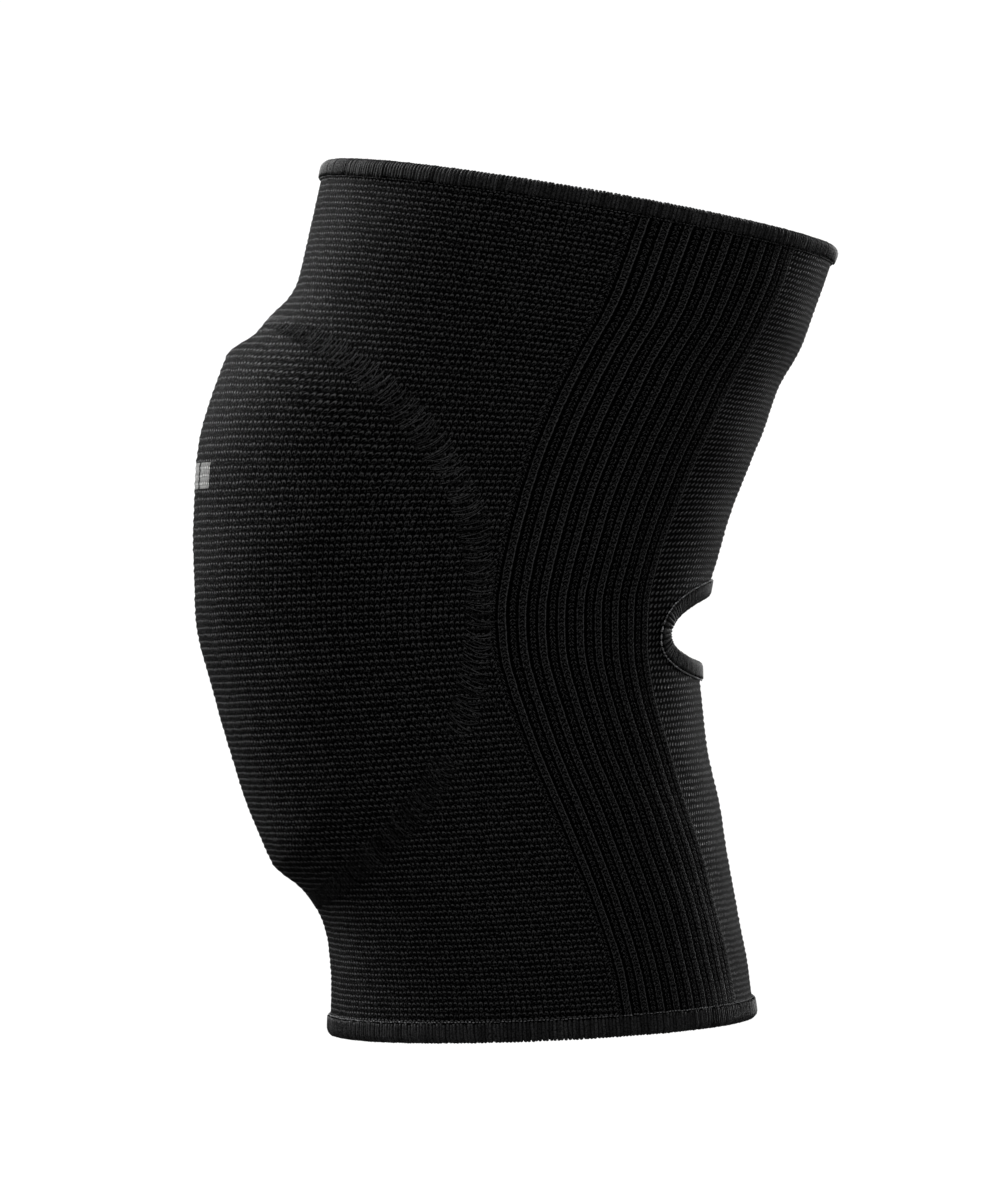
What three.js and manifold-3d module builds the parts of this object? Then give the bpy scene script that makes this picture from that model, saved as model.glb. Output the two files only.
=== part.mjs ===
// Volleyball knee pad: a knitted sleeve with a foam pad in front, in the form a bent knee gives it.
// Millimetres, +Z up. The knee's front points along -X and its hollow along +X.
// The origin is the middle of the knee inside the sleeve.
import * as THREE from "three";
import { mergeVertices } from "three/addons/utils/BufferGeometryUtils.js";
import Module from "manifold-3d";

// The sleeve's lengths above and below the middle of the knee
const thigh_length = 110.7;
const shin_length = 102;

// Its outer size, front to back and side to side, at the upper mouth, the knee and the lower mouth
const thigh_depth = 132.2;
const thigh_width = 121;
const knee_depth = 114;
const knee_width = 105;
const shin_depth = 109.8;
const shin_width = 106;

// How far the mouths' centres lie behind the middle of the knee
const thigh_setback = 26.2;
const shin_setback = 16.2;

// The knit's wall, and the space left round the foam and under the thread edgings
const wall = 2;
const gap = 0.3;
const thread_gap = 0.45;

// The rib bands at each side: their count, the angle from one to the next, and their relief
const rib_count = 9;
const rib_pitch = 5.1;
const rib_relief = 0.6;
const rib_fade = 14;

// The foam's pocket in front: half its angle round the leg, half its height, its middle and its thickness
const pad_half_angle = 91;
const pad_half_height = 75;
const pad_middle = 5.5;
const pad_bulge = 16.8;
const pad_inset = 5;

// The thread edgings: how thick the thread lies, and how far each edging reaches over the knit
const thread = 0.8;
const top_hem_height = 4.2;
const bottom_hem_height = 5.2;
const binding_reach = 5;

// The opening behind the knee: its free half width and half height, and its middle on the leg's axis
const hole_half_width = 30.5;
const hole_half_height = 8.2;
const hole_middle = -2.8;

// Stations along the leg, from the knee to each mouth. along is a share of that length, lean a share of
// that mouth's setback. depth and width multiply a straight taper from the knee to the mouth. tilt is the
// slope of the knit's courses in degrees, up towards the back. rib is the angle of the rearmost rib.
const thigh_stations = [
  { along: 0, lean: 0.04, depth: 1, width: 1, tilt: 3.3, rib: 46 },
  { along: 0.09, lean: 0.046, depth: 1.008, width: 1, tilt: 2.7, rib: 46 },
  { along: 0.271, lean: 0.145, depth: 1.035, width: 1.005, tilt: 1, rib: 44.5 },
  { along: 0.452, lean: 0.279, depth: 1.05, width: 1.01, tilt: -2.2, rib: 42 },
  { along: 0.623, lean: 0.496, depth: 1.026, width: 1.01, tilt: -5.5, rib: 39.5 },
  { along: 0.768, lean: 0.718, depth: 1.02, width: 1.005, tilt: -8, rib: 37.5 },
  { along: 1, lean: 1, depth: 1, width: 1, tilt: -9.7, rib: 36 },
];
const shin_stations = [
  { along: 0.098, lean: 0.08, depth: 0.976, width: 1, tilt: 3.9, rib: 44.5 },
  { along: 0.294, lean: 0.247, depth: 0.967, width: 0.995, tilt: 4.2, rib: 40 },
  { along: 0.49, lean: 0.475, depth: 0.971, width: 0.99, tilt: 3.7, rib: 35 },
  { along: 0.686, lean: 0.77, depth: 0.959, width: 0.985, tilt: 3.2, rib: 31 },
  { along: 0.843, lean: 0.93, depth: 0.975, width: 0.99, tilt: 2.6, rib: 28.5 },
  { along: 1, lean: 1, depth: 1, width: 1, tilt: 2.4, rib: 27 },
];

// The foam's rise across its pocket. out is 0 at the middle, 1 where the flank starts and 2 at the seam.
const pad_profile = [
  { out: 0, rise: 1 },
  { out: 0.6, rise: 0.965 },
  { out: 1, rise: 0.885 },
  { out: 1.25, rise: 0.74 },
  { out: 1.5, rise: 0.52 },
  { out: 1.75, rise: 0.38 },
  { out: 2, rise: 0.27 },
  { out: 2.5, rise: 0.08 },
  { out: 3, rise: 0 },
];
const flank_at_side = 0.8;
const flank_at_end = 0.87;
const rise_lost_at_side = 0.42;
const rise_lost_below = 0.36;
const fullest_height = 0.22;

// The flank is hollow above the knee, at both sides: the hollow's depth, its place and its spread
const hollow_depth = 0.17;
const hollow_out = 1.4;
const hollow_spread = 0.32;

// At the top end the knit runs on over the foam's edge: how much it stands out there, and how far along
const shoulder_rise = 1.5;
const shoulder_spread = 0.07;

const degrees = Math.PI / 180;
const turn = 2 * Math.PI;

// One value of a table at a place, by a smooth curve through its rows
function read(table, key, value, place) {
  const last = table.length - 1;
  if (place <= table[0][key]) return table[0][value];
  if (place >= table[last][key]) return table[last][value];
  let i = 0;
  while (place > table[i + 1][key]) i += 1;
  const slope = (m) => {
    const a = table[Math.max(m - 1, 0)];
    const b = table[Math.min(m + 1, last)];
    return (b[value] - a[value]) / (b[key] - a[key]);
  };
  const span = table[i + 1][key] - table[i][key];
  const t = (place - table[i][key]) / span;
  const from = table[i][value];
  const to = table[i + 1][value];
  const start = slope(i) * span * t * (1 - t) * (1 - t);
  const end = slope(i + 1) * span * t * t * (1 - t);
  return from + (to - from) * t * t * (3 - 2 * t) + start - end;
}

// Both tables joined into stations in millimetres, from the lower mouth to the upper one
function station(row, length, setback, depth, width) {
  return {
    height: row.along * length,
    centre: row.lean * setback,
    depth: row.depth * THREE.MathUtils.lerp(knee_depth, depth, row.along),
    width: row.width * THREE.MathUtils.lerp(knee_width, width, row.along),
    slope: Math.tan(row.tilt * degrees),
    rib: row.rib * degrees,
  };
}
const stations = [
  ...shin_stations
    .map((row) => station(row, shin_length, shin_setback, shin_depth, shin_width))
    .map((made) => ({ ...made, height: -made.height }))
    .reverse(),
  ...thigh_stations.map((row) => station(row, thigh_length, thigh_setback, thigh_depth, thigh_width)),
];
const at = (value, height) => read(stations, "height", value, height);

// How far the foam lifts the knit, at an angle from the front and a height
function bulge(angle, z) {
  const side = angle / (pad_half_angle * degrees);
  const end = (z - pad_middle) / pad_half_height;
  const reach = Math.hypot(side, end);
  if (reach === 0) return pad_bulge;
  const toward_end = (end / reach) ** 2;
  const flank = THREE.MathUtils.lerp(flank_at_side, flank_at_end, toward_end);
  const out = reach < flank ? reach / flank : 1 + (reach - flank) / (1 - flank);
  const across = 1 - rise_lost_at_side * Math.min(side * side, 1.2);
  const along = 1 - rise_lost_below * Math.min((end - fullest_height) ** 2, 1.6);
  const way = toward_end ** 0.8;
  const corner = end > 0 ? 4 * way * (1 - way) : 0;
  const hollow = hollow_depth * corner * Math.exp(-(((out - hollow_out) / hollow_spread) ** 2));
  const rise = Math.max(read(pad_profile, "out", "rise", out) - hollow, 0);
  const near_seam = Math.exp(-(((reach - 1) / shoulder_spread) ** 2));
  const shoulder = end > 0 ? shoulder_rise * toward_end ** 3 * near_seam : 0;
  return pad_bulge * across * along * rise + shoulder;
}

// A point of the sleeve's outer face, moved out by some offset. angle is 0 in front and half a turn behind.
function skin(angle, height, offset, foam) {
  const half_depth = at("depth", height) / 2;
  const half_width = at("width", height) / 2;
  const centre = at("centre", height);
  const slope = at("slope", height);
  const along = -half_depth * Math.cos(angle);
  const across = half_width * Math.sin(angle);
  const normal = new THREE.Vector2(-Math.cos(angle) / half_depth, Math.sin(angle) / half_width).normalize();
  const wrapped = Math.abs(Math.atan2(Math.sin(angle), Math.cos(angle)));
  const rise = offset + (foam ? bulge(wrapped, height + along * slope) : 0);
  const x = along + normal.x * rise;
  return new THREE.Vector3(centre + x, across + normal.y * rise, height + x * slope);
}

// Columns round the leg for one side, from the front to the back. Each rib has a ridge and two grooves.
const front_columns = 12;
const rear_columns = 7;
function sideColumns(height, ridges) {
  const rear = at("rib", height) - (rib_pitch / 2) * degrees;
  const front = rear + rib_count * rib_pitch * degrees;
  const columns = [];
  for (let i = 1; i <= front_columns; i += 1) {
    columns.push({ angle: ((Math.PI - front) * i) / (front_columns + 1), relief: 0 });
  }
  const steps = ridges ? 2 * rib_count : rib_count;
  for (let i = 0; i <= steps; i += 1) {
    const ridge = i % 2 === 1 ? 0.5 : -0.5;
    const relief = ridges && i > 0 && i < steps ? ridge : 0;
    columns.push({ angle: Math.PI - front + ((front - rear) * i) / steps, relief });
  }
  for (let i = 1; i <= rear_columns; i += 1) {
    columns.push({ angle: Math.PI - rear + (rear * i) / (rear_columns + 1), relief: 0 });
  }
  return columns;
}
function columnsAt(height, ridges) {
  const side = sideColumns(height, ridges);
  const other = side.map((c) => ({ angle: turn - c.angle, relief: c.relief })).reverse();
  return [{ angle: 0, relief: 0 }, ...side, { angle: Math.PI, relief: 0 }, ...other];
}

// The height on the leg's axis of the course that meets the front at a height
function courseAtFront(z) {
  let low = -shin_length;
  let high = thigh_length;
  for (let i = 0; i < 40; i += 1) {
    const middle = (low + high) / 2;
    if (middle - (at("depth", middle) / 2) * at("slope", middle) < z) low = middle;
    else high = middle;
  }
  return (low + high) / 2;
}

// Rows along the leg, set where the pocket's ends are steep
const edging = thread + thread_gap;
const sleeve_top = thigh_length - edging;
const sleeve_bottom = -shin_length + edging;
const row_marks = [
  { height: sleeve_bottom, rows: 3 },
  { height: courseAtFront(pad_middle - pad_half_height * 1.02), rows: 1 },
  { height: courseAtFront(pad_middle - pad_half_height * 0.9), rows: 14 },
  { height: courseAtFront(pad_middle + pad_half_height * 0.88), rows: 3 },
  { height: courseAtFront(pad_middle + pad_half_height * 1.1), rows: 4 },
  { height: sleeve_top, rows: 0 },
];
const row_heights = row_marks.slice(0, -1).flatMap((mark, i) => {
  const next = row_marks[i + 1].height;
  return Array.from({ length: mark.rows }, (_, k) => mark.height + ((next - mark.height) * k) / mark.rows);
});
row_heights.push(sleeve_top);

// Ribs sink into the knit before they reach an edging
function ribFade(height) {
  const top = THREE.MathUtils.smoothstep(sleeve_top - height, top_hem_height, rib_fade);
  const bottom = THREE.MathUtils.smoothstep(height - sleeve_bottom, bottom_hem_height, rib_fade);
  return Math.min(top, bottom);
}

// A closed solid from rings of points, each ring with as many points as the next, capped at both ends
function solidFromRings(rings) {
  const count = rings[0].length;
  const points = rings.flat();
  const faces = [];
  for (let r = 0; r < rings.length - 1; r += 1) {
    for (let c = 0; c < count; c += 1) {
      const a = r * count + c;
      const b = r * count + ((c + 1) % count);
      faces.push(a, b, b + count, a, b + count, a + count);
    }
  }
  const capped = [rings[0], rings[rings.length - 1]].map((ring) => {
    points.push(ring.reduce((sum, p) => sum.add(p), new THREE.Vector3()).divideScalar(count));
    return points.length - 1;
  });
  const last = (rings.length - 1) * count;
  for (let c = 0; c < count; c += 1) {
    const d = (c + 1) % count;
    faces.push(capped[0], d, c, capped[1], last + c, last + d);
  }
  return geometry(points, faces);
}

// A closed ring from sections of points, the last section joined to the first
function loopFromSections(sections) {
  const count = sections[0].length;
  const faces = [];
  sections.forEach((section, s) => {
    const next = ((s + 1) % sections.length) * count;
    for (let c = 0; c < count; c += 1) {
      const a = s * count + c;
      const b = s * count + ((c + 1) % count);
      const over = next + ((c + 1) % count);
      faces.push(a, over, b, a, next + c, over);
    }
  });
  return geometry(sections.flat(), faces);
}

function geometry(points, faces) {
  const made = new THREE.BufferGeometry().setFromPoints(points);
  made.setIndex(faces);
  return made;
}

// Solids for the cuts
const wasm = await Module();
wasm.setup();

function toSolid(shape) {
  const merged = mergeVertices(shape, 1e-4);
  const vertProperties = new Float32Array(merged.attributes.position.array);
  const triVerts = new Uint32Array(merged.index.array);
  const solid = new wasm.Manifold(new wasm.Mesh({ numProp: 3, vertProperties, triVerts }));
  if (solid.volume() > 0) return solid;
  for (let i = 0; i < triVerts.length; i += 3) {
    [triVerts[i + 1], triVerts[i + 2]] = [triVerts[i + 2], triVerts[i + 1]];
  }
  return new wasm.Manifold(new wasm.Mesh({ numProp: 3, vertProperties, triVerts }));
}

function toGeometry(solid) {
  const mesh = solid.getMesh();
  const made = new THREE.BufferGeometry();
  made.setAttribute("position", new THREE.BufferAttribute(new Float32Array(mesh.vertProperties), 3));
  made.setIndex(new THREE.BufferAttribute(new Uint32Array(mesh.triVerts), 1));
  return made;
}

// A filled tube of the leg's shape. past carries its ends beyond the sleeve's edges.
function tube({ offset, foam, ridges, past }) {
  const rings = row_heights.map((height) => {
    const fade = ribFade(height) * rib_relief;
    return columnsAt(height, ridges).map((c) => skin(c.angle, height, offset + c.relief * fade, foam));
  });
  if (past > 0) {
    rings.unshift(rings[0].map((p) => p.clone().setZ(p.z - past)));
    rings.push(rings[rings.length - 1].map((p) => p.clone().setZ(p.z + past)));
  }
  return toSolid(solidFromRings(rings));
}

// The opening behind the knee, on the unrolled knit: a point some distance out from its free edge
const arc_radius = (knee_width + knee_depth) / 4;
const hole_steps = 36;
function besideHole(step, out, offset) {
  const t = (turn * step) / hole_steps;
  const normal = new THREE.Vector2(Math.cos(t) / hole_half_width, Math.sin(t) / hole_half_height).normalize();
  const across = hole_half_width * Math.cos(t) + normal.x * out;
  const up = hole_half_height * Math.sin(t) + normal.y * out;
  return skin(Math.PI - across / arc_radius, hole_middle + up, offset, false);
}
const hole_ring = Array.from({ length: hole_steps }, (_, step) => step);
const cut_depth = 12;
const hole_cutter = toSolid(
  solidFromRings([
    hole_ring.map((step) => besideHole(step, edging, -cut_depth)),
    hole_ring.map((step) => besideHole(step, edging, cut_depth)),
  ]),
);

// The sleeve: the knit's wall, open at both mouths and behind the knee
const outer = tube({ offset: 0, foam: true, ridges: true, past: 0 });
const inner = tube({ offset: -wall, foam: true, ridges: false, past: 5 });
const sleeve_solid = outer.subtract(inner).subtract(hole_cutter);

// The foam pad: what fills the pocket between the knit and the leg, within the seam
const pad_steps = 40;
const pad_rings = 4;
function padPlug(offset) {
  return Array.from({ length: pad_rings + 1 }, (_, ring) =>
    Array.from({ length: pad_steps }, (_, step) => {
      const t = (turn * step) / pad_steps;
      const share = Math.max(ring, 0.02) / pad_rings;
      const side = (pad_half_angle * degrees - pad_inset / arc_radius) * share * Math.cos(t);
      const up = (pad_half_height - pad_inset) * share * Math.sin(t);
      return skin(side, courseAtFront(pad_middle + up), offset, false);
    }),
  );
}
const plug = toSolid(solidFromRings([...padPlug(-3 * wall), ...padPlug(2 * pad_bulge).reverse()]));
const pocket = tube({ offset: -wall - gap, foam: true, ridges: false, past: 0 });
const leg = tube({ offset: -wall, foam: false, ridges: false, past: 5 });
const pad_solid = pocket.intersect(plug).subtract(leg);

// A thread edging: a channel that wraps an edge of the knit on both faces
const channel = (reach) => [
  { out: 0, lift: thread + thread_gap },
  { out: reach, lift: thread + thread_gap },
  { out: reach, lift: thread_gap },
  { out: thread, lift: thread_gap },
  { out: thread, lift: -wall - thread_gap },
  { out: reach, lift: -wall - thread_gap },
  { out: reach, lift: -wall - thread_gap - thread },
  { out: 0, lift: -wall - thread_gap - thread },
];
const hem_steps = 48;
function hem(mouth, inward, reach) {
  const sections = Array.from({ length: hem_steps }, (_, step) => {
    const angle = (turn * step) / hem_steps;
    return channel(reach).map((p) => skin(angle, mouth + inward * p.out, p.lift, true));
  });
  return toGeometry(toSolid(loopFromSections(sections)));
}
const binding_sections = hole_ring.map((step) =>
  channel(binding_reach).map((p) => besideHole(step, p.out, p.lift)),
);

// The pieces, each with its own material
const black_knit = new THREE.MeshStandardMaterial({ color: 0x141417, roughness: 0.95, metalness: 0 });
const black_thread = new THREE.MeshStandardMaterial({ color: 0x1b1b1f, roughness: 0.8, metalness: 0 });
const foam = new THREE.MeshStandardMaterial({ color: 0x2a2a2c, roughness: 1, metalness: 0 });

function piece(name, shape, material) {
  const mesh = new THREE.Mesh(shape, material);
  mesh.name = name;
  mesh.geometry.computeVertexNormals();
  return mesh;
}

const knee_pad = new THREE.Group();
knee_pad.add(
  piece("sleeve", toGeometry(sleeve_solid), black_knit),
  piece("foam_pad", toGeometry(pad_solid), foam),
  piece("top_hem", hem(thigh_length, -1, top_hem_height), black_thread),
  piece("bottom_hem", hem(-shin_length, 1, bottom_hem_height), black_thread),
  piece("hole_binding", toGeometry(toSolid(loopFromSections(binding_sections))), black_thread),
);

export default knee_pad;
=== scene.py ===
"""A volleyball knee pad: a black knitted sleeve with a foam pad in front, as a bent knee holds it."""

import math

import bpy
import numpy as np
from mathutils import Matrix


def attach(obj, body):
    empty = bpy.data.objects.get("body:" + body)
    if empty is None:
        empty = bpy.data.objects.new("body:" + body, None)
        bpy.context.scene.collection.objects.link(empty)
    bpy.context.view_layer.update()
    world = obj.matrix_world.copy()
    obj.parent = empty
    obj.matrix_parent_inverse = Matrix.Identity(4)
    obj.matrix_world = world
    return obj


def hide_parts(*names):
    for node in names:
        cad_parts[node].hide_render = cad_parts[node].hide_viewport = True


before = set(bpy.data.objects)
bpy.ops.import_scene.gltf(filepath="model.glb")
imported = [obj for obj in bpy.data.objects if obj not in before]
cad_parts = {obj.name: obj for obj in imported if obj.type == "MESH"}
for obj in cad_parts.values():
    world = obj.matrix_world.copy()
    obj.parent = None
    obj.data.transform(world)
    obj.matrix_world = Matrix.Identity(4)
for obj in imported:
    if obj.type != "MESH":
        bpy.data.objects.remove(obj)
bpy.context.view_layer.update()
bpy.ops.object.select_all(action="DESELECT")

# The camera stands at the pad's side, level with the knee and 1.4 m away, so both mouths show as
# thin curves. Its frame is the upright photograph's.
MM = 0.001
CAMERA_DISTANCE = 1.4
FRAME_HEIGHT = 0.3113
bpy.ops.object.camera_add(
    location=(0.0052, -CAMERA_DISTANCE, 0.008), rotation=(math.radians(90), 0, 0)
)
camera = bpy.context.object
camera.name = "camera"
camera.data.sensor_fit = "VERTICAL"
camera.data.sensor_height = 24
camera.data.lens = 24 * CAMERA_DISTANCE / FRAME_HEIGHT
bpy.context.scene.camera = camera

# The sleeve is a tube knitted in the round from black elastic yarn, 2 mm thick. Plain knit runs down the
# front and back, and nine ribs of three wales run down each side. The leg inside gives it its form.
WALL = 2.0
THIGH_LENGTH = 110.7
SHIN_LENGTH = 102.0
THREAD = 0.8
THREAD_GAP = 0.45
SLEEVE_TOP = THIGH_LENGTH - THREAD - THREAD_GAP
SLEEVE_BOTTOM = -SHIN_LENGTH + THREAD + THREAD_GAP

# Each row is a course of the knit: its height on the leg, its middle, depth and width, the courses' tilt
# in degrees and the rearmost rib's angle.
LEG = np.array(
    [
        (-102.0, 16.2, 109.8, 106.0, 2.4, 27.0),
        (-86.0, 15.07, 107.69, 104.78, 2.6, 28.5),
        (-70.0, 12.47, 106.57, 104.1, 3.2, 31.0),
        (-50.0, 7.7, 108.7, 104.4, 3.7, 35.0),
        (-30.0, 4.0, 109.04, 104.77, 4.2, 40.0),
        (-10.0, 1.3, 110.86, 105.1, 3.9, 44.5),
        (0.0, 1.05, 114.0, 105.0, 3.3, 46.0),
        (9.96, 1.21, 116.56, 106.4, 2.7, 46.0),
        (30.0, 3.8, 123.1, 109.9, 1.0, 44.5),
        (50.04, 7.31, 128.34, 113.35, -2.2, 42.0),
        (68.97, 13.0, 128.6, 116.1, -5.5, 39.5),
        (85.02, 18.81, 130.54, 117.86, -8.0, 37.5),
        (110.7, 26.2, 132.2, 121.0, -9.7, 36.0),
    ]
)
CENTRE, DEPTH, WIDTH, TILT, RIB = 1, 2, 3, 4, 5
PAD_HALF_ANGLE = math.radians(91)
PAD_HALF_HEIGHT = 75.0
PAD_MIDDLE = 5.5
PAD_BULGE = 16.8
FLANK_AT_SIDE, FLANK_AT_END = 0.8, 0.87
RISE_LOST_AT_SIDE, RISE_LOST_BELOW = 0.42, 0.36
HOLLOW_DEPTH, HOLLOW_PLACE, HOLLOW_SPREAD = 0.23, 1.4, 0.3
SHOULDER_RISE, SHOULDER_SPREAD = 1.5, 0.07
PAD_RISE = np.array(
    [
        (0, 1), (0.6, 0.965), (1, 0.885), (1.25, 0.74), (1.5, 0.52),
        (1.75, 0.38), (2, 0.27), (2.5, 0.08), (3, 0),
    ]
)  # fmt: skip


def along_curve(table, column, place):
    """A column of a table as a smooth curve through its rows, read at a place on the first column."""
    keys, values = table[:, 0], table[:, column]
    slopes = np.gradient(values, keys)
    slopes[1:-1] = (values[2:] - values[:-2]) / (keys[2:] - keys[:-2])
    place = np.clip(place, keys[0], keys[-1])
    i = np.clip(np.searchsorted(keys, place) - 1, 0, len(keys) - 2)
    span = keys[i + 1] - keys[i]
    t = (place - keys[i]) / span
    ease = t * t * (3 - 2 * t)
    start = slopes[i] * span * t * (1 - t) ** 2
    end = slopes[i + 1] * span * t * t * (1 - t)
    return values[i] + (values[i + 1] - values[i]) * ease + start - end


def foam_rise(angle, z):
    """How far the foam lifts the knit: a dome with steep flanks, and a fold under each upper corner."""
    side = np.abs(np.arctan2(np.sin(angle), np.cos(angle))) / PAD_HALF_ANGLE
    end = (z - PAD_MIDDLE) / PAD_HALF_HEIGHT
    reach = np.maximum(np.hypot(side, end), 1e-6)
    toward_end = (end / reach) ** 2
    flank = FLANK_AT_SIDE + (FLANK_AT_END - FLANK_AT_SIDE) * toward_end
    out = np.where(reach < flank, reach / flank, 1 + (reach - flank) / (1 - flank))
    across = 1 - RISE_LOST_AT_SIDE * np.minimum(side * side, 1.2)
    lengthways = 1 - RISE_LOST_BELOW * np.minimum((end - 0.22) ** 2, 1.6)
    way = toward_end**0.8
    corner = np.where(end > 0, 4 * way * (1 - way), 0)
    hollow = HOLLOW_DEPTH * corner * np.exp(-(((out - HOLLOW_PLACE) / HOLLOW_SPREAD) ** 2))
    near_seam = np.exp(-(((reach - 1) / SHOULDER_SPREAD) ** 2))
    shoulder = np.where(end > 0, SHOULDER_RISE * toward_end**3 * near_seam, 0)
    rise = np.maximum(along_curve(PAD_RISE, 1, out) - hollow, 0)
    return PAD_BULGE * across * lengthways * rise + shoulder


def on_leg(angle, height, lift, foam=True):
    """Points on the knit, in metres: angle is 0 in front, height is along the leg, lift is outwards."""
    half_depth = along_curve(LEG, DEPTH, height) / 2
    half_width = along_curve(LEG, WIDTH, height) / 2
    slope = np.tan(np.radians(along_curve(LEG, TILT, height)))
    x, y = -half_depth * np.cos(angle), half_width * np.sin(angle)
    nx, ny = -np.cos(angle) / half_depth, np.sin(angle) / half_width
    size = np.hypot(nx, ny)
    nx, ny = nx / size, ny / size
    rise = lift + (foam_rise(angle, height + x * slope) if foam else 0)
    x = x + nx * rise
    points = (along_curve(LEG, CENTRE, height) + x, y + ny * rise, height + x * slope)
    return np.stack(np.broadcast_arrays(*points), axis=-1) * MM


def flat_points(piece):
    points = np.zeros(len(piece.data.vertices) * 3)
    piece.data.vertices.foreach_get("co", points)
    return points.reshape(-1, 3)


def lay(piece, points):
    piece.data.vertices.foreach_set("co", np.ascontiguousarray(points, dtype=np.float32).ravel())
    piece.data.update()


REAR_WALES = 26
RIB_WALES = 27
FRONT_WALES = 76
SIDE_WALES = REAR_WALES + RIB_WALES + FRONT_WALES
RIBS = 9
RIB_PITCH = math.radians(5.1)
# Across one rib, in wales from the back: a raised band, a thin groove, a flat column and a deeper groove,
# each place with its lift in mm.
RIB_FORM = [
    (0.1, 0.1), (1.05, 0.1), (1.35, -0.1), (1.7, 0.0), (2.4, 0.0), (2.75, -0.16),
]  # fmt: skip


def side_columns():
    """The wales round one side, from the back to the front, each with its lift."""
    columns = [(wale, 0.0) for wale in (0, 4, 8, 12, 15, 17.5, 19.5, 21.5, 23, 24.5)]
    for rib in range(RIBS):
        columns += [(REAR_WALES + 3 * rib + place, relief) for place, relief in RIB_FORM]
    columns[-1] = (columns[-1][0], 0.0)
    columns += [(REAR_WALES + RIB_WALES + FRONT_WALES * i / 26, 0.0) for i in range(27)]
    return columns


half = side_columns()
columns = np.array(half + [(2 * SIDE_WALES - wale, relief) for wale, relief in half[-2::-1]])
COURSES = 136
ROWS = 2 * COURSES
bpy.ops.mesh.primitive_grid_add(x_subdivisions=len(columns) - 1, y_subdivisions=ROWS, size=2)
sleeve = bpy.context.object
sleeve.name = "knitted_sleeve"
flat = flat_points(sleeve)
column = np.rint((flat[:, 0] + 1) / 2 * (len(columns) - 1)).astype(int)
row = (flat[:, 1] + 1) / 2
height = SLEEVE_BOTTOM + (SLEEVE_TOP - SLEEVE_BOTTOM) * (row - 0.012 * np.sin(2 * math.pi * row))
wale = columns[column, 0]
from_back = SIDE_WALES - np.abs(SIDE_WALES - wale)
rear_edge = np.radians(along_curve(LEG, RIB, height)) - RIB_PITCH / 2
front_edge = rear_edge + RIBS * RIB_PITCH
behind = np.where(
    from_back < REAR_WALES,
    rear_edge * from_back / REAR_WALES,
    np.where(
        from_back < REAR_WALES + RIB_WALES,
        rear_edge + (from_back - REAR_WALES) / 3 * RIB_PITCH,
        front_edge + (math.pi - front_edge) * (from_back - REAR_WALES - RIB_WALES) / FRONT_WALES,
    ),
)
angle = np.where(wale <= SIDE_WALES, math.pi - behind, math.pi + behind)
RELIEF_STARTS, RELIEF_FADE = 4, 9
to_edge = np.minimum(SLEEVE_TOP - height, height - SLEEVE_BOTTOM)
fade = np.clip((to_edge - RELIEF_STARTS) / RELIEF_FADE, 0, 1)
relief = columns[column, 1] * fade * fade * (3 - 2 * fade)
waves = (
    0.16 * np.sin(height / 9.1 + 2.2 * np.sin(angle * 2 + 0.6))
    + 0.13 * np.sin(height / 5.3 + angle * 5 + 1.3)
    + 0.10 * np.sin(height / 3.4 - angle * 7)
)
points = on_leg(angle, height, relief + waves * fade)
seam_reach = np.hypot(
    np.minimum(angle, 2 * math.pi - angle) / PAD_HALF_ANGLE,
    (points[:, 2] / MM - PAD_MIDDLE) / PAD_HALF_HEIGHT,
)
SEAM_DIP, DIP_PLACE, DIP_SPREAD = 0.4, 0.985, 0.05
COURSE_RIDGE, YARN_GRAIN = 0.09, 0.035
dip = -SEAM_DIP * np.exp(-(((seam_reach - DIP_PLACE) / DIP_SPREAD) ** 2))
ridge = COURSE_RIDGE * np.where(np.rint(row * ROWS).astype(int) % 2, 1, -1)
grain = np.random.default_rng(3).normal(0, YARN_GRAIN, len(flat))
surface = relief + (waves + ridge + grain) * fade + dip

# Wales and courses become the sleeve's own UV map, so the stitches follow the knit wherever it stretches.
course = COURSES * row + 0.22
loops = np.zeros(len(sleeve.data.loops), dtype=np.int32)
sleeve.data.loops.foreach_get("vertex_index", loops)
stitches = np.stack([wale[loops], course[loops]], axis=-1)
sleeve.data.uv_layers[0].name = "stitches"
sleeve.data.uv_layers[0].data.foreach_set("uv", stitches.astype(np.float32).ravel())

# The opening behind the knee is cut out of the knit. Its rough cut edge lies inside the binding.
HOLE_HALF_WIDTH = 30.5
HOLE_HALF_HEIGHT = 8.2
HOLE_MIDDLE = -2.8
ARC_RADIUS = (105 + 114) / 4
EDGING = THREAD + THREAD_GAP
across_hole = (math.pi - angle) * ARC_RADIUS
up_hole = height - HOLE_MIDDLE
oval = np.hypot(across_hole / (HOLE_HALF_WIDTH + EDGING), up_hole / (HOLE_HALF_HEIGHT + EDGING))
inside = oval < 1
lay(sleeve, on_leg(angle, height, surface))
bpy.ops.object.mode_set(mode="EDIT")
bpy.ops.mesh.select_mode(type="FACE")
bpy.ops.mesh.select_all(action="DESELECT")
bpy.ops.object.mode_set(mode="OBJECT")
for face in sleeve.data.polygons:
    face.select = any(inside[v] for v in face.vertices)
bpy.ops.object.mode_set(mode="EDIT")
bpy.ops.mesh.delete(type="FACE")
bpy.ops.mesh.select_all(action="SELECT")
bpy.ops.mesh.remove_doubles(threshold=0.00002)
bpy.ops.mesh.normals_make_consistent(inside=False)
bpy.ops.object.mode_set(mode="OBJECT")
knit_wall = sleeve.modifiers.new("wall", "SOLIDIFY")
knit_wall.thickness = WALL * MM
knit_wall.offset = -1
bpy.ops.object.modifier_apply(modifier="wall")
bpy.ops.object.shade_smooth()


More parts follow.
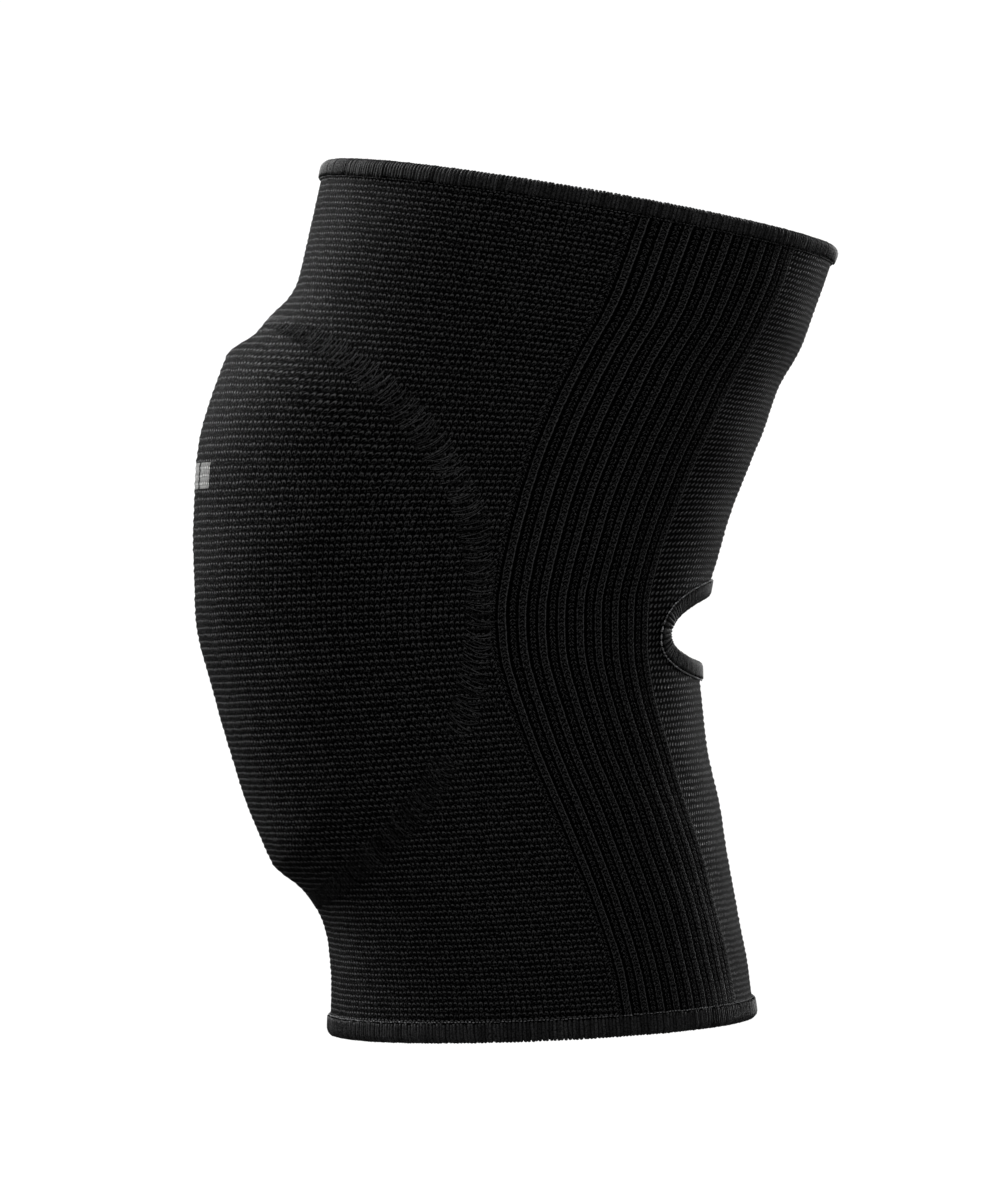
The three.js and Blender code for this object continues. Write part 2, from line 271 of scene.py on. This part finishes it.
def worked(tree, operation, *values, clamp=False):
    """One step of arithmetic in a material: numbers and sockets in, a socket out."""
    node = tree.nodes.new("ShaderNodeMath")
    node.operation = operation
    node.use_clamp = clamp
    for socket, value in zip(node.inputs, values):
        if isinstance(value, bpy.types.NodeSocket):
            tree.links.new(value, socket)
        else:
            socket.default_value = value
    return node.outputs[0]


def bell(tree, value, middle, spread):
    """1 where value is at the middle, falling softly to 0 over the spread."""
    away = worked(tree, "DIVIDE", worked(tree, "SUBTRACT", value, middle), spread)
    return worked(tree, "EXPONENT", worked(tree, "MULTIPLY", worked(tree, "MULTIPLY", away, away), -1.0))


def between(tree, value, low, high):
    above = worked(tree, "GREATER_THAN", value, low)
    return worked(tree, "MULTIPLY", above, worked(tree, "LESS_THAN", value, high))


# The knit's stitches: one arched loop in each wale and course in front, slanted stitches behind, and on a
# rib a band of small stitches between two fine edges, a thin groove, a column of stitches and a groove.
knit = bpy.data.node_groups.new("Knit stitches", "ShaderNodeTree")
knit.interface.new_socket("Stitch", in_out="INPUT", socket_type="NodeSocketVector")
for name in ("Height", "Yarn"):
    knit.interface.new_socket(name, in_out="OUTPUT", socket_type="NodeSocketFloat")
group_in = knit.nodes.new("NodeGroupInput")
group_out = knit.nodes.new("NodeGroupOutput")


def noise(tree, vector, scale, detail):
    node = tree.nodes.new("ShaderNodeTexNoise")
    node.inputs["Scale"].default_value = scale
    node.inputs["Detail"].default_value = detail
    tree.links.new(vector, node.inputs["Vector"])
    return node


def arch(tree, across, half_width, up):
    """An upright loop: a flat-topped arch that thins out down both legs. It sets the bump, and its
    brightness, strongest at the top, is a painted highlight.
    """
    side = worked(tree, "ABSOLUTE", worked(tree, "DIVIDE", across, half_width))
    rise = worked(tree, "DIVIDE", worked(tree, "SUBTRACT", up, 0.28), 0.44)
    outward = worked(tree, "ADD", worked(tree, "POWER", side, 3.4), worked(tree, "MULTIPLY", rise, rise))
    ring = bell(tree, worked(tree, "SQRT", outward), 1.0, 0.32)
    # The loop brightens towards its top: a painted highlight, as from light falling from above.
    return worked(tree, "MULTIPLY", ring, worked(tree, "MULTIPLY_ADD", up, 2.1, -0.2, clamp=True))


drift = knit.nodes.new("ShaderNodeVectorMath")
drift.operation = "MULTIPLY_ADD"
knit.links.new(noise(knit, group_in.outputs["Stitch"], 0.42, 1).outputs["Color"], drift.inputs[0])
drift.inputs[1].default_value = (0.2, 0.4, 0)
knit.links.new(group_in.outputs["Stitch"], drift.inputs[2])
split = knit.nodes.new("ShaderNodeSeparateXYZ")
knit.links.new(drift.outputs[0], split.inputs[0])
turned = worked(knit, "ABSOLUTE", worked(knit, "SUBTRACT", split.outputs[0], SIDE_WALES + 0.1))
wales_back = worked(knit, "SUBTRACT", float(SIDE_WALES), turned)
in_wale = worked(knit, "SUBTRACT", worked(knit, "FRACT", wales_back), 0.5)
in_course = worked(knit, "FRACT", split.outputs[1])
wale_body = worked(knit, "MULTIPLY", bell(knit, in_wale, 0.0, 0.26), 0.15)
plain = worked(
    knit,
    "MULTIPLY",
    worked(knit, "MAXIMUM", arch(knit, in_wale, 0.35, in_course), wale_body),
    bell(knit, in_wale, 0.0, 0.41),
)
slanted = worked(knit, "FRACT", worked(knit, "MULTIPLY_ADD", in_wale, 0.5, split.outputs[1]))
chained = worked(
    knit,
    "MULTIPLY",
    worked(knit, "MULTIPLY", bell(knit, slanted, 0.5, 0.2), 1.75),
    bell(knit, in_wale, 0.0, 0.23),
)
rear_zone = worked(knit, "LESS_THAN", wales_back, float(REAR_WALES))
rear = knit.nodes.new("ShaderNodeMix")
rear.data_type = "FLOAT"
knit.links.new(rear_zone, rear.inputs["Factor"])
knit.links.new(plain, rear.inputs["A"])
knit.links.new(chained, rear.inputs["B"])
past_rear = worked(knit, "SUBTRACT", wales_back, float(REAR_WALES))
in_rib = worked(knit, "MULTIPLY", worked(knit, "FRACT", worked(knit, "DIVIDE", past_rear, 3.0)), 3.0)
from_band = worked(knit, "SUBTRACT", in_rib, 0.62)
off_band = worked(knit, "ABSOLUTE", from_band)
twice = worked(knit, "MULTIPLY", split.outputs[1], 2.0)
each = worked(knit, "MULTIPLY_ADD", bell(knit, in_course, 0.3, 0.28), 0.36, 0.18)
chain_phase = worked(knit, "FRACT", worked(knit, "MULTIPLY_ADD", off_band, 1.7, twice))
chain = worked(knit, "MULTIPLY", bell(knit, chain_phase, 0.5, 0.24), each)
chain = worked(knit, "MULTIPLY", chain, worked(knit, "LESS_THAN", off_band, 0.46))
beads = worked(knit, "MULTIPLY_ADD", bell(knit, in_course, 0.5, 0.25), 0.4, 0.3)
front_edge_line = worked(knit, "MULTIPLY", bell(knit, from_band, 0.49, 0.09), 0.85)
rear_edge_line = worked(knit, "MULTIPLY", bell(knit, from_band, -0.49, 0.11), 1.5)
rib_edge = worked(knit, "MULTIPLY", worked(knit, "MAXIMUM", front_edge_line, rear_edge_line), beads)
from_column = worked(knit, "ABSOLUTE", worked(knit, "SUBTRACT", in_rib, 2.06))
leg_phase = worked(knit, "FRACT", worked(knit, "MULTIPLY_ADD", from_column, 2.0, twice))
legs = worked(knit, "MULTIPLY", bell(knit, from_column, 0.27, 0.17), bell(knit, leg_phase, 0.5, 0.28))
ladder = worked(knit, "MULTIPLY", legs, worked(knit, "MULTIPLY", each, 1.35))
ribbed = worked(knit, "MAXIMUM", worked(knit, "MAXIMUM", chain, rib_edge), ladder)
rib_zone = between(knit, wales_back, float(REAR_WALES), REAR_WALES + RIB_WALES - 0.55)
cell = knit.nodes.new("ShaderNodeVectorMath")
cell.operation = "FLOOR"
knit.links.new(drift.outputs[0], cell.inputs[0])
chance = knit.nodes.new("ShaderNodeTexWhiteNoise")
chance.noise_dimensions = "3D"
knit.links.new(cell.outputs[0], chance.inputs["Vector"])
own_height = worked(knit, "MULTIPLY_ADD", chance.outputs["Value"], 0.7, 0.6)
uneven = worked(knit, "MULTIPLY", rear.outputs["Result"], own_height)
blend = knit.nodes.new("ShaderNodeMix")
blend.data_type = "FLOAT"
knit.links.new(rib_zone, blend.inputs["Factor"])
knit.links.new(uneven, blend.inputs["A"])
knit.links.new(ribbed, blend.inputs["B"])
fibres = noise(knit, group_in.outputs["Stitch"], 3.2, 2).outputs[0]
lit_yarn = worked(knit, "MULTIPLY", blend.outputs["Result"], worked(knit, "MULTIPLY_ADD", fibres, 3.8, -0.9))
rib_body = worked(knit, "MAXIMUM", bell(knit, from_band, 0.0, 0.42), bell(knit, from_column, 0.0, 0.26))
fuzzy = worked(knit, "MULTIPLY_ADD", rib_zone, worked(knit, "SUBTRACT", rib_body, 0.52), 1.0)
smoother = worked(knit, "MULTIPLY_ADD", rear_zone, -0.6, 1.0)
fuzzy = worked(knit, "MULTIPLY", fuzzy, smoother)
fuzz = worked(knit, "MULTIPLY", worked(knit, "MULTIPLY_ADD", fibres, 1.3, -0.6), fuzzy)
# The height also sets the yarn's colour: a painted highlight on the loops and painted shade between them,
# fibre speckle included.
knit.links.new(worked(knit, "MAXIMUM", lit_yarn, fuzz), group_out.inputs["Height"])
knit.links.new(blend.outputs["Result"], group_out.inputs["Yarn"])

# Black elastic yarn, duller in its grooves, with a painted highlight on each loop and painted shade in the
# grooves, both taken from the stitch height. A row of five plain white blocks is printed across the front
# and takes on the loops that it covers.
black_knit = bpy.data.materials.new("black knit")
black_knit.use_nodes = True
tree = black_knit.node_tree
yarn = tree.nodes["Principled BSDF"]
yarn.inputs["Specular IOR Level"].default_value = 0.015
stitch_map = tree.nodes.new("ShaderNodeUVMap")
stitch_map.uv_map = "stitches"
stitch = tree.nodes.new("ShaderNodeGroup")
stitch.node_tree = knit
tree.links.new(stitch_map.outputs[0], stitch.inputs["Stitch"])
# This ramp paints light and shade onto the black yarn: near black in the gaps between stitches, grey on the
# tops of the loops.
shade = tree.nodes.new("ShaderNodeValToRGB")
shade.color_ramp.elements[0].position = 0.1
shade.color_ramp.elements[0].color = (0.0008, 0.0008, 0.0009, 1)
shade.color_ramp.elements[1].position = 0.8
shade.color_ramp.elements[1].color = (0.21, 0.21, 0.213, 1)
tree.links.new(stitch.outputs["Height"], shade.inputs[0])
place = tree.nodes.new("ShaderNodeSeparateXYZ")
tree.links.new(stitch_map.outputs[0], place.inputs[0])
PRINT_COURSES = (87.9, 91.3)
BLOCK_STARTS = (-15.5, -9.1, -2.7, 3.7, 10.1)
BLOCK_WALES = 5.4
blocks = None
for low in BLOCK_STARTS:
    block = between(tree, place.outputs[0], SIDE_WALES + low, SIDE_WALES + low + BLOCK_WALES)
    blocks = block if blocks is None else worked(tree, "MAXIMUM", blocks, block)
blocks = worked(tree, "MULTIPLY", blocks, between(tree, place.outputs[1], *PRINT_COURSES))
cover = worked(tree, "MULTIPLY_ADD", stitch.outputs["Yarn"], 2.2, 0.25, clamp=True)
ink = worked(tree, "MULTIPLY", blocks, cover)
colour = tree.nodes.new("ShaderNodeMix")
colour.data_type = "RGBA"
tree.links.new(ink, colour.inputs["Factor"])
tree.links.new(shade.outputs[0], colour.inputs["A"])
colour.inputs["B"].default_value = (0.78, 0.78, 0.77, 1)
tree.links.new(colour.outputs["Result"], yarn.inputs["Base Color"])
tree.links.new(worked(tree, "MULTIPLY_ADD", stitch.outputs["Height"], -0.3, 0.72), yarn.inputs["Roughness"])
relief_bump = tree.nodes.new("ShaderNodeBump")
relief_bump.inputs["Distance"].default_value = 0.00045
tree.links.new(stitch.outputs["Height"], relief_bump.inputs["Height"])
tree.links.new(relief_bump.outputs[0], yarn.inputs["Normal"])
sleeve.data.materials.append(black_knit)
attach(sleeve, "root")
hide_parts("sleeve")

# The foam pad fills the pocket in front. It is a thick moulded sheet with a rounded edge, faced with
# plain cloth, and it shows only from inside the sleeve.
GAP = 0.3
FOAM_EASE = 0.25
PAD_INSET = 5.0
PAD_STEPS = 120
PAD_ROWS = 44
bpy.ops.mesh.primitive_grid_add(x_subdivisions=PAD_STEPS, y_subdivisions=PAD_ROWS, size=2)
foam_pad = bpy.context.object
foam_pad.name = "foam_pad_soft"
flat = flat_points(foam_pad)
round_it = (flat[:, 0] + 1) * math.pi
through = (flat[:, 1] + 1) / 2 * math.pi
share = np.sin(through) ** 0.55
outer_side = np.cos(through) * 0.5 + 0.5
outer_side = outer_side * outer_side * (3 - 2 * outer_side)
pad_angle = (PAD_HALF_ANGLE - PAD_INSET / ARC_RADIUS) * share * np.cos(round_it)
pad_z = PAD_MIDDLE + (PAD_HALF_HEIGHT - PAD_INSET) * share * np.sin(round_it)


def height_at(angle, z):
    """The height on the leg of the course that passes an angle at a level z."""
    height = z
    for _ in range(5):
        slope = np.tan(np.radians(along_curve(LEG, TILT, height)))
        height = z + along_curve(LEG, DEPTH, height) / 2 * np.cos(angle) * slope
    return height


pad_height = height_at(pad_angle, pad_z)
pad_outer = on_leg(pad_angle, pad_height, -WALL - GAP - FOAM_EASE)
pad_inner = on_leg(pad_angle, pad_height, -WALL + 0.1, foam=False)
lay(foam_pad, pad_inner + (pad_outer - pad_inner) * outer_side[:, None])
bpy.ops.object.mode_set(mode="EDIT")
bpy.ops.mesh.select_all(action="SELECT")
bpy.ops.mesh.remove_doubles(threshold=0.00005)
bpy.ops.mesh.normals_make_consistent(inside=False)
bpy.ops.object.mode_set(mode="OBJECT")
bpy.ops.object.shade_smooth()
pad_cloth = bpy.data.materials.new("pad cloth")
pad_cloth.use_nodes = True
tree = pad_cloth.node_tree
cloth = tree.nodes["Principled BSDF"]
cloth.inputs["Sheen Weight"].default_value = 0.2
where = tree.nodes.new("ShaderNodeTexCoord")
weave = tree.nodes.new("ShaderNodeTexVoronoi")
weave.inputs["Scale"].default_value = 1300
tree.links.new(where.outputs["Object"], weave.inputs["Vector"])
weave_tone = tree.nodes.new("ShaderNodeValToRGB")
weave_tone.color_ramp.elements[0].color = (0.03, 0.03, 0.032, 1)
weave_tone.color_ramp.elements[1].color = (0.008, 0.008, 0.009, 1)
tree.links.new(weave.outputs["Distance"], weave_tone.inputs[0])
tree.links.new(weave_tone.outputs[0], cloth.inputs["Base Color"])
cloth.inputs["Roughness"].default_value = 0.85
weave_bump = tree.nodes.new("ShaderNodeBump")
weave_bump.invert = True
weave_bump.inputs["Distance"].default_value = 0.0003
tree.links.new(weave.outputs["Distance"], weave_bump.inputs["Height"])
tree.links.new(weave_bump.outputs[0], cloth.inputs["Normal"])
foam_pad.data.materials.append(pad_cloth)
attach(foam_pad, "root")
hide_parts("foam_pad")

# The mouths' edgings are overlocked: hundreds of turns of thread wrapped side by side over the knit's cut
# edge, each a little uneven, on a padded core, with a line of needle stitches at the foot.
TOP_HEM_HEIGHT = 4.2
BOTTOM_HEM_HEIGHT = 5.2
WRAP_PITCH = 0.92
EDGE_ROOM = 0.45
HALF_FOLD = WALL / 2 + 0.62
DASH_GAP = 0.35
APART = 4
chances = np.random.default_rng(7)


def toned(piece, values):
    """Keeps each thread's tone on its points, for the thread's material: a random tone of its own, times a
    painted highlight or painted shade on the needle stitches and the seam.
    """
    tones = piece.data.attributes.new("tone", "FLOAT", "POINT")
    tones.data.foreach_set("value", np.ascontiguousarray(values, dtype=np.float32))


def fold(share, reach, depth):
    """A place on the way over the edge: how far below the edge, its lift, and the way out of it."""
    straight = reach - HALF_FOLD - EDGE_ROOM
    bend = math.pi * HALF_FOLD
    way = share * (2 * straight + bend)
    turn = np.clip((way - straight) / HALF_FOLD, 0, math.pi)
    outside = np.clip(straight - way, 0, None)
    inside = np.clip(way - straight - bend, 0, None)
    out = EDGE_ROOM + HALF_FOLD - HALF_FOLD * np.sin(turn) + outside + inside
    lift = -WALL / 2 + HALF_FOLD * np.cos(turn)
    return out - np.sin(turn) * depth, lift + np.cos(turn) * depth


def beside(piece, count):
    """Repeats one thread end flat beside itself, and tells which repeat each point belongs to."""
    row = piece.modifiers.new("row", "ARRAY")
    row.count = count
    row.use_relative_offset = False
    row.use_constant_offset = True
    row.constant_offset_displace = (APART, 0, 0)
    bpy.ops.object.modifier_apply(modifier="row")
    flat = flat_points(piece)
    return flat, np.rint(flat[:, 0] / APART).astype(int)


def strand(name, sides, steps):
    """One straight thread end along y, cut into steps so that it can bend."""
    bpy.ops.mesh.primitive_cylinder_add(vertices=sides, radius=1, depth=1, rotation=(math.pi / 2, 0, 0))
    piece = bpy.context.object
    piece.name = name
    bpy.ops.object.transform_apply(location=True, rotation=True, scale=True)
    bpy.ops.object.mode_set(mode="EDIT")
    bpy.ops.mesh.select_all(action="DESELECT")
    bpy.ops.object.mode_set(mode="OBJECT")
    for edge in piece.data.edges:
        a, b = (piece.data.vertices[v].co for v in edge.vertices)
        edge.select = abs(a.y - b.y) > 0.5
    bpy.ops.object.mode_set(mode="EDIT")
    bpy.ops.mesh.subdivide(number_cuts=steps - 1)
    bpy.ops.object.mode_set(mode="OBJECT")
    return piece


def wraps(name, count, reach, width=0.45, thick=0.32):
    """Turns of thread, made flat beside each other: x counts the turns, y runs over the edge."""
    piece = strand(name, 6, 14)
    flat, turn = beside(piece, count)
    share = np.clip(flat[:, 1] + 0.5, 0, 1)
    taper = 1 - 0.35 * np.abs(2 * share - 1) ** 6
    sideways = (flat[:, 0] - APART * turn) * width * taper
    lean = chances.normal(0.34, 0.10, count)[turn] * (0.5 - share)
    bow = chances.normal(0.16, 0.08, count)[turn] * np.sin(share * math.pi)
    shift = chances.normal(0, 0.07, count)[turn]
    lift = flat[:, 2] * thick * taper + chances.normal(0, 0.035, count)[turn]
    longer = chances.normal(0, 0.16, count)[turn] * np.abs(2 * share - 1)
    below, out_lift = fold(share, reach, lift)
    toned(piece, chances.uniform(0.45, 1.35, count)[turn])
    along = (turn + 0.5 + shift + lean + bow) * WRAP_PITCH + sideways
    return piece, along / (count * WRAP_PITCH), below + longer, out_lift


def dashes(name, count, painted_highlight, length=0.34, thick=0.17):
    """Needle stitches in a row: small thread ends, made flat beside each other."""
    bpy.ops.mesh.primitive_uv_sphere_add(segments=6, ring_count=5, radius=1, rotation=(0, math.pi / 2, 0))
    piece = bpy.context.object
    piece.name = name
    bpy.ops.object.transform_apply(location=True, rotation=True, scale=True)
    flat, turn = beside(piece, count)
    shift = chances.normal(0, 0.05, count)[turn]
    along = turn + 0.5 + shift + (flat[:, 0] - APART * turn) * length / WRAP_PITCH
    side = flat[:, 1] * thick + chances.normal(0, 0.06, count)[turn]
    # Painted highlight: the needle stitches are made lighter by this factor, so they read as a bright line
    # where the edging's foot lies in shade.
    toned(piece, chances.uniform(0.6, 1.4, count)[turn] * painted_highlight)
    return piece, along / count, side, flat[:, 2] * thick


def core(name, steps, reach):
    """The padding under the wraps: a thin skin over the edge, closed at its foot."""
    bpy.ops.mesh.primitive_grid_add(x_subdivisions=steps, y_subdivisions=20, size=2)
    piece = bpy.context.object
    piece.name = name
    flat = flat_points(piece)
    share = (flat[:, 1] + 1) / 2
    below, lift = fold(share, reach - 0.3, -0.12)
    toned(piece, np.full(len(flat), 0.4))
    return piece, (flat[:, 0] + 1) / 2, below, lift


def sewn(parts, name):
    """Joins the flat-made parts of one edging into one piece with its faces turned out."""
    bpy.ops.object.select_all(action="DESELECT")
    for part in parts:
        part.select_set(True)
    bpy.context.view_layer.objects.active = parts[0]
    bpy.ops.object.join()
    piece = bpy.context.object
    piece.name = name
    bpy.ops.object.mode_set(mode="EDIT")
    bpy.ops.mesh.select_all(action="SELECT")
    bpy.ops.mesh.remove_doubles(threshold=0.000002)
    bpy.ops.mesh.normals_make_consistent(inside=False)
    bpy.ops.object.mode_set(mode="OBJECT")
    bpy.ops.object.shade_smooth()
    return piece


# Thread: three fine plies twisted together, a little shinier than the knit.
black_thread = bpy.data.materials.new("black thread")
black_thread.use_nodes = True
tree = black_thread.node_tree
ply = tree.nodes["Principled BSDF"]
ply.inputs["Specular IOR Level"].default_value = 0.1
where = tree.nodes.new("ShaderNodeTexCoord")
fibre = tree.nodes.new("ShaderNodeTexNoise")
fibre.inputs["Scale"].default_value = 2600
fibre.inputs["Detail"].default_value = 2
tree.links.new(where.outputs["Object"], fibre.inputs["Vector"])
fibre_tone = tree.nodes.new("ShaderNodeValToRGB")
fibre_tone.color_ramp.elements[0].position = 0.3
fibre_tone.color_ramp.elements[0].color = (0.0012, 0.0012, 0.0014, 1)
fibre_tone.color_ramp.elements[1].position = 0.75
fibre_tone.color_ramp.elements[1].color = (0.1, 0.1, 0.102, 1)
tree.links.new(fibre.outputs[0], fibre_tone.inputs[0])
# Each point's tone: the thread's random tone, with painted highlight and painted shade on the needle
# stitches and the seam.
tone_and_painted_light = tree.nodes.new("ShaderNodeAttribute")
tone_and_painted_light.attribute_name = "tone"
shaded = tree.nodes.new("ShaderNodeVectorMath")
shaded.operation = "MULTIPLY"
tree.links.new(fibre_tone.outputs[0], shaded.inputs[0])
tree.links.new(tone_and_painted_light.outputs["Fac"], shaded.inputs[1])
tree.links.new(shaded.outputs[0], ply.inputs["Base Color"])
tree.links.new(worked(tree, "MULTIPLY_ADD", fibre.outputs[0], 0.3, 0.38), ply.inputs["Roughness"])
fibre_bump = tree.nodes.new("ShaderNodeBump")
fibre_bump.inputs["Distance"].default_value = 0.00015
tree.links.new(fibre.outputs[0], fibre_bump.inputs["Height"])
tree.links.new(fibre_bump.outputs[0], ply.inputs["Normal"])


def hem(node, mouth, inward, reach, count, painted_highlight):
    """The edging of one mouth: its core, its turns of thread and its needle stitches as one piece."""
    parts = []
    for piece, share, below, lift in (
        core(node + "_core", 160, reach),
        wraps(node + "_wraps", count, reach),
    ):
        lay(piece, on_leg(share * 2 * math.pi, mouth + inward * below, lift))
        parts.append(piece)
    piece, share, side, lift = dashes(node + "_dashes", count, painted_highlight)
    lay(piece, on_leg(share * 2 * math.pi, mouth + inward * (reach + DASH_GAP + side), lift + 0.28))
    parts.append(piece)
    piece = sewn(parts, node + "_overlock")
    piece.data.materials.append(black_thread)
    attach(piece, "root")
    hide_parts(node)


# The last number lightens each edging's needle stitches as a painted highlight.
hem("top_hem", THIGH_LENGTH, -1, TOP_HEM_HEIGHT, 425, 2.2)
hem("bottom_hem", -SHIN_LENGTH, 1, BOTTOM_HEM_HEIGHT, 365, 6)

# The opening's edge is bound in the same way, with the turns fanned round the oval.
BINDING_REACH = 5.0
HOLE_WRAPS = 190
turns = np.linspace(0, 2 * math.pi, 721)
bend_x = (HOLE_HALF_WIDTH + 3) * np.cos(turns)
bend_y = (HOLE_HALF_HEIGHT + 3) * np.sin(turns)
lengths = np.concatenate([[0], np.cumsum(np.hypot(np.diff(bend_x), np.diff(bend_y)))])


def round_hole(share, out, lift):
    """Points round the opening: share of the way round, and how far out of the oval."""
    turn = np.interp(np.mod(share, 1) * lengths[-1], lengths, turns)
    nx, ny = np.cos(turn) / HOLE_HALF_WIDTH, np.sin(turn) / HOLE_HALF_HEIGHT
    size = np.hypot(nx, ny)
    across = HOLE_HALF_WIDTH * np.cos(turn) + nx / size * out
    up = HOLE_HALF_HEIGHT * np.sin(turn) + ny / size * out
    return on_leg(math.pi - across / ARC_RADIUS, HOLE_MIDDLE + up, lift, foam=False)


parts = []
for piece, share, below, lift in (
    core("hole_core", 120, BINDING_REACH),
    wraps("hole_wraps", HOLE_WRAPS, BINDING_REACH),
):
    lay(piece, round_hole(share, below, lift))
    parts.append(piece)
# The binding's needle stitches carry the strongest painted highlight.
piece, share, side, lift = dashes("hole_dashes", HOLE_WRAPS, 9, length=0.4, thick=0.24)
lay(piece, round_hole(share, BINDING_REACH + DASH_GAP + side, lift + 0.36))
parts.append(piece)
hole_binding = sewn(parts, "hole_overlock")
hole_binding.data.materials.append(black_thread)
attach(hole_binding, "root")
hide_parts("hole_binding")

# The foam's pocket is closed by a wide zigzag seam round it: fans of four thin threads that cross the
# seam side by side and arch a little upwards.
SEAM_HALF_WIDTH = 3.8
FAN_PITCH = 2.75
KNEE_RADIUS = 63
SEAM_INSET = 1.8
SEAM_THREAD = 0.14
FAN_THREADS = 4
turns = np.linspace(0, 2 * math.pi, 1441)
seam_radius = PAD_HALF_ANGLE * KNEE_RADIUS - SEAM_INSET
bend_x, bend_y = seam_radius * np.cos(turns), PAD_HALF_HEIGHT * np.sin(turns)
lengths = np.concatenate([[0], np.cumsum(np.hypot(np.diff(bend_x), np.diff(bend_y)))])
FANS = int(lengths[-1] / FAN_PITCH)
THREADS = FANS * FAN_THREADS
seam = strand("pocket_seam", 5, 9)
flat, thread = beside(seam, THREADS)
fan, in_fan = thread // FAN_THREADS, thread % FAN_THREADS
over = 2 * flat[:, 1]
taper = 1 - 0.5 * np.abs(over) ** 4
crown = (0.95 + chances.normal(0, 0.35, THREADS)[thread]) * (1 - over * over)
slant = (0.18 + chances.normal(0, 0.4, THREADS)[thread]) * over
spread = (in_fan - 1.5) * (0.62 + 0.1 * over)
seam_along = (
    (fan + 0.5) * FAN_PITCH
    + spread
    + crown
    + slant
    + chances.normal(0, 0.06, THREADS)[thread]
    + (flat[:, 0] - APART * thread) * SEAM_THREAD * taper
)
turn = np.interp(np.mod(seam_along, lengths[-1]), lengths, turns)
nx, ny = np.cos(turn) / seam_radius, np.sin(turn) / PAD_HALF_HEIGHT
size = np.hypot(nx, ny)
narrow = 1 - 0.5 * np.sin(turn) ** 4
seam_across = over * narrow * (SEAM_HALF_WIDTH + chances.normal(0, 0.18, THREADS)[thread])
side_angle = (seam_radius * np.cos(turn) + nx / size * seam_across) / KNEE_RADIUS
seam_z = PAD_MIDDLE + PAD_HALF_HEIGHT * np.sin(turn) + ny / size * seam_across
seam_lift = -0.12 - 0.2 * np.sin(turn) ** 4 + 0.1 * over * over + flat[:, 2] * SEAM_THREAD * taper
# Painted shade and highlight: the seam's threads are darkened along the pocket's lower half and lightened
# along its upper half, on top of their random tone.
low = np.clip(-1.6 * np.sin(turn) - 0.2, 0, 1)
high = np.clip(1.6 * np.sin(turn) - 0.4, 0, 1)
toned(seam, chances.uniform(0.3, 2.2, THREADS)[thread] * (1 - 0.5 * low + 0.4 * high))
lay(seam, on_leg(side_angle, height_at(side_angle, seam_z), seam_lift))
bpy.ops.object.mode_set(mode="EDIT")
bpy.ops.mesh.select_all(action="SELECT")
bpy.ops.mesh.normals_make_consistent(inside=False)
bpy.ops.object.mode_set(mode="OBJECT")
bpy.ops.object.shade_smooth()
seam.data.materials.append(black_thread)
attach(seam, "root")

# The studio: a pale floor well below the pad, which is held up, and a white room. One large soft light
# in front of the knee and one behind it make both edges shine, and a weak one at the side fills the middle.
bpy.ops.object.select_all(action="DESELECT")
bpy.ops.mesh.primitive_plane_add(size=8, location=(0, 0, -0.45))
floor = bpy.context.object
floor.name = "floor"
floor_paint = bpy.data.materials.new("white floor")
floor_paint.use_nodes = True
floor_paint.node_tree.nodes["Principled BSDF"].inputs["Base Color"].default_value = (0.9, 0.9, 0.9, 1)
floor_paint.node_tree.nodes["Principled BSDF"].inputs["Emission Color"].default_value = (1, 1, 1, 1)
floor_paint.node_tree.nodes["Principled BSDF"].inputs["Emission Strength"].default_value = 1.0
floor.data.materials.append(floor_paint)
floor.visible_diffuse = False
floor.visible_glossy = False

room = bpy.context.scene.world or bpy.data.worlds.new("room")
bpy.context.scene.world = room
room.use_nodes = True
tree = room.node_tree
tree.nodes.clear()
seen = tree.nodes.new("ShaderNodeLightPath")
backdrop = tree.nodes.new("ShaderNodeBackground")
backdrop.inputs["Color"].default_value = (1, 1, 1, 1)
backdrop.inputs["Strength"].default_value = 1.05
air = tree.nodes.new("ShaderNodeBackground")
air.inputs["Color"].default_value = (1, 1, 1, 1)
air.inputs["Strength"].default_value = 0.12
choice = tree.nodes.new("ShaderNodeMixShader")
result = tree.nodes.new("ShaderNodeOutputWorld")
tree.links.new(seen.outputs["Is Camera Ray"], choice.inputs[0])
tree.links.new(air.outputs[0], choice.inputs[1])
tree.links.new(backdrop.outputs[0], choice.inputs[2])
tree.links.new(choice.outputs[0], result.inputs["Surface"])


def soft_light(name, place, size, power):
    bpy.ops.object.light_add(type="AREA", location=place)
    light = bpy.context.object
    light.name = name
    light.data.shape = "RECTANGLE"
    light.data.size, light.data.size_y = size
    light.data.energy = power
    aim = -light.location.copy()
    light.rotation_euler = aim.to_track_quat("-Z", "Y").to_euler()


soft_light("front light", (-0.75, 0.55, 0.62), (0.8, 0.8), 19.5)
soft_light("back light", (1.3, 1.5, 0.4), (0.9, 1.2), 30)
soft_light("side light", (0.1, -1.3, 1.0), (1.2, 0.8), 2.8)
bpy.context.scene.view_settings.view_transform = "Standard"
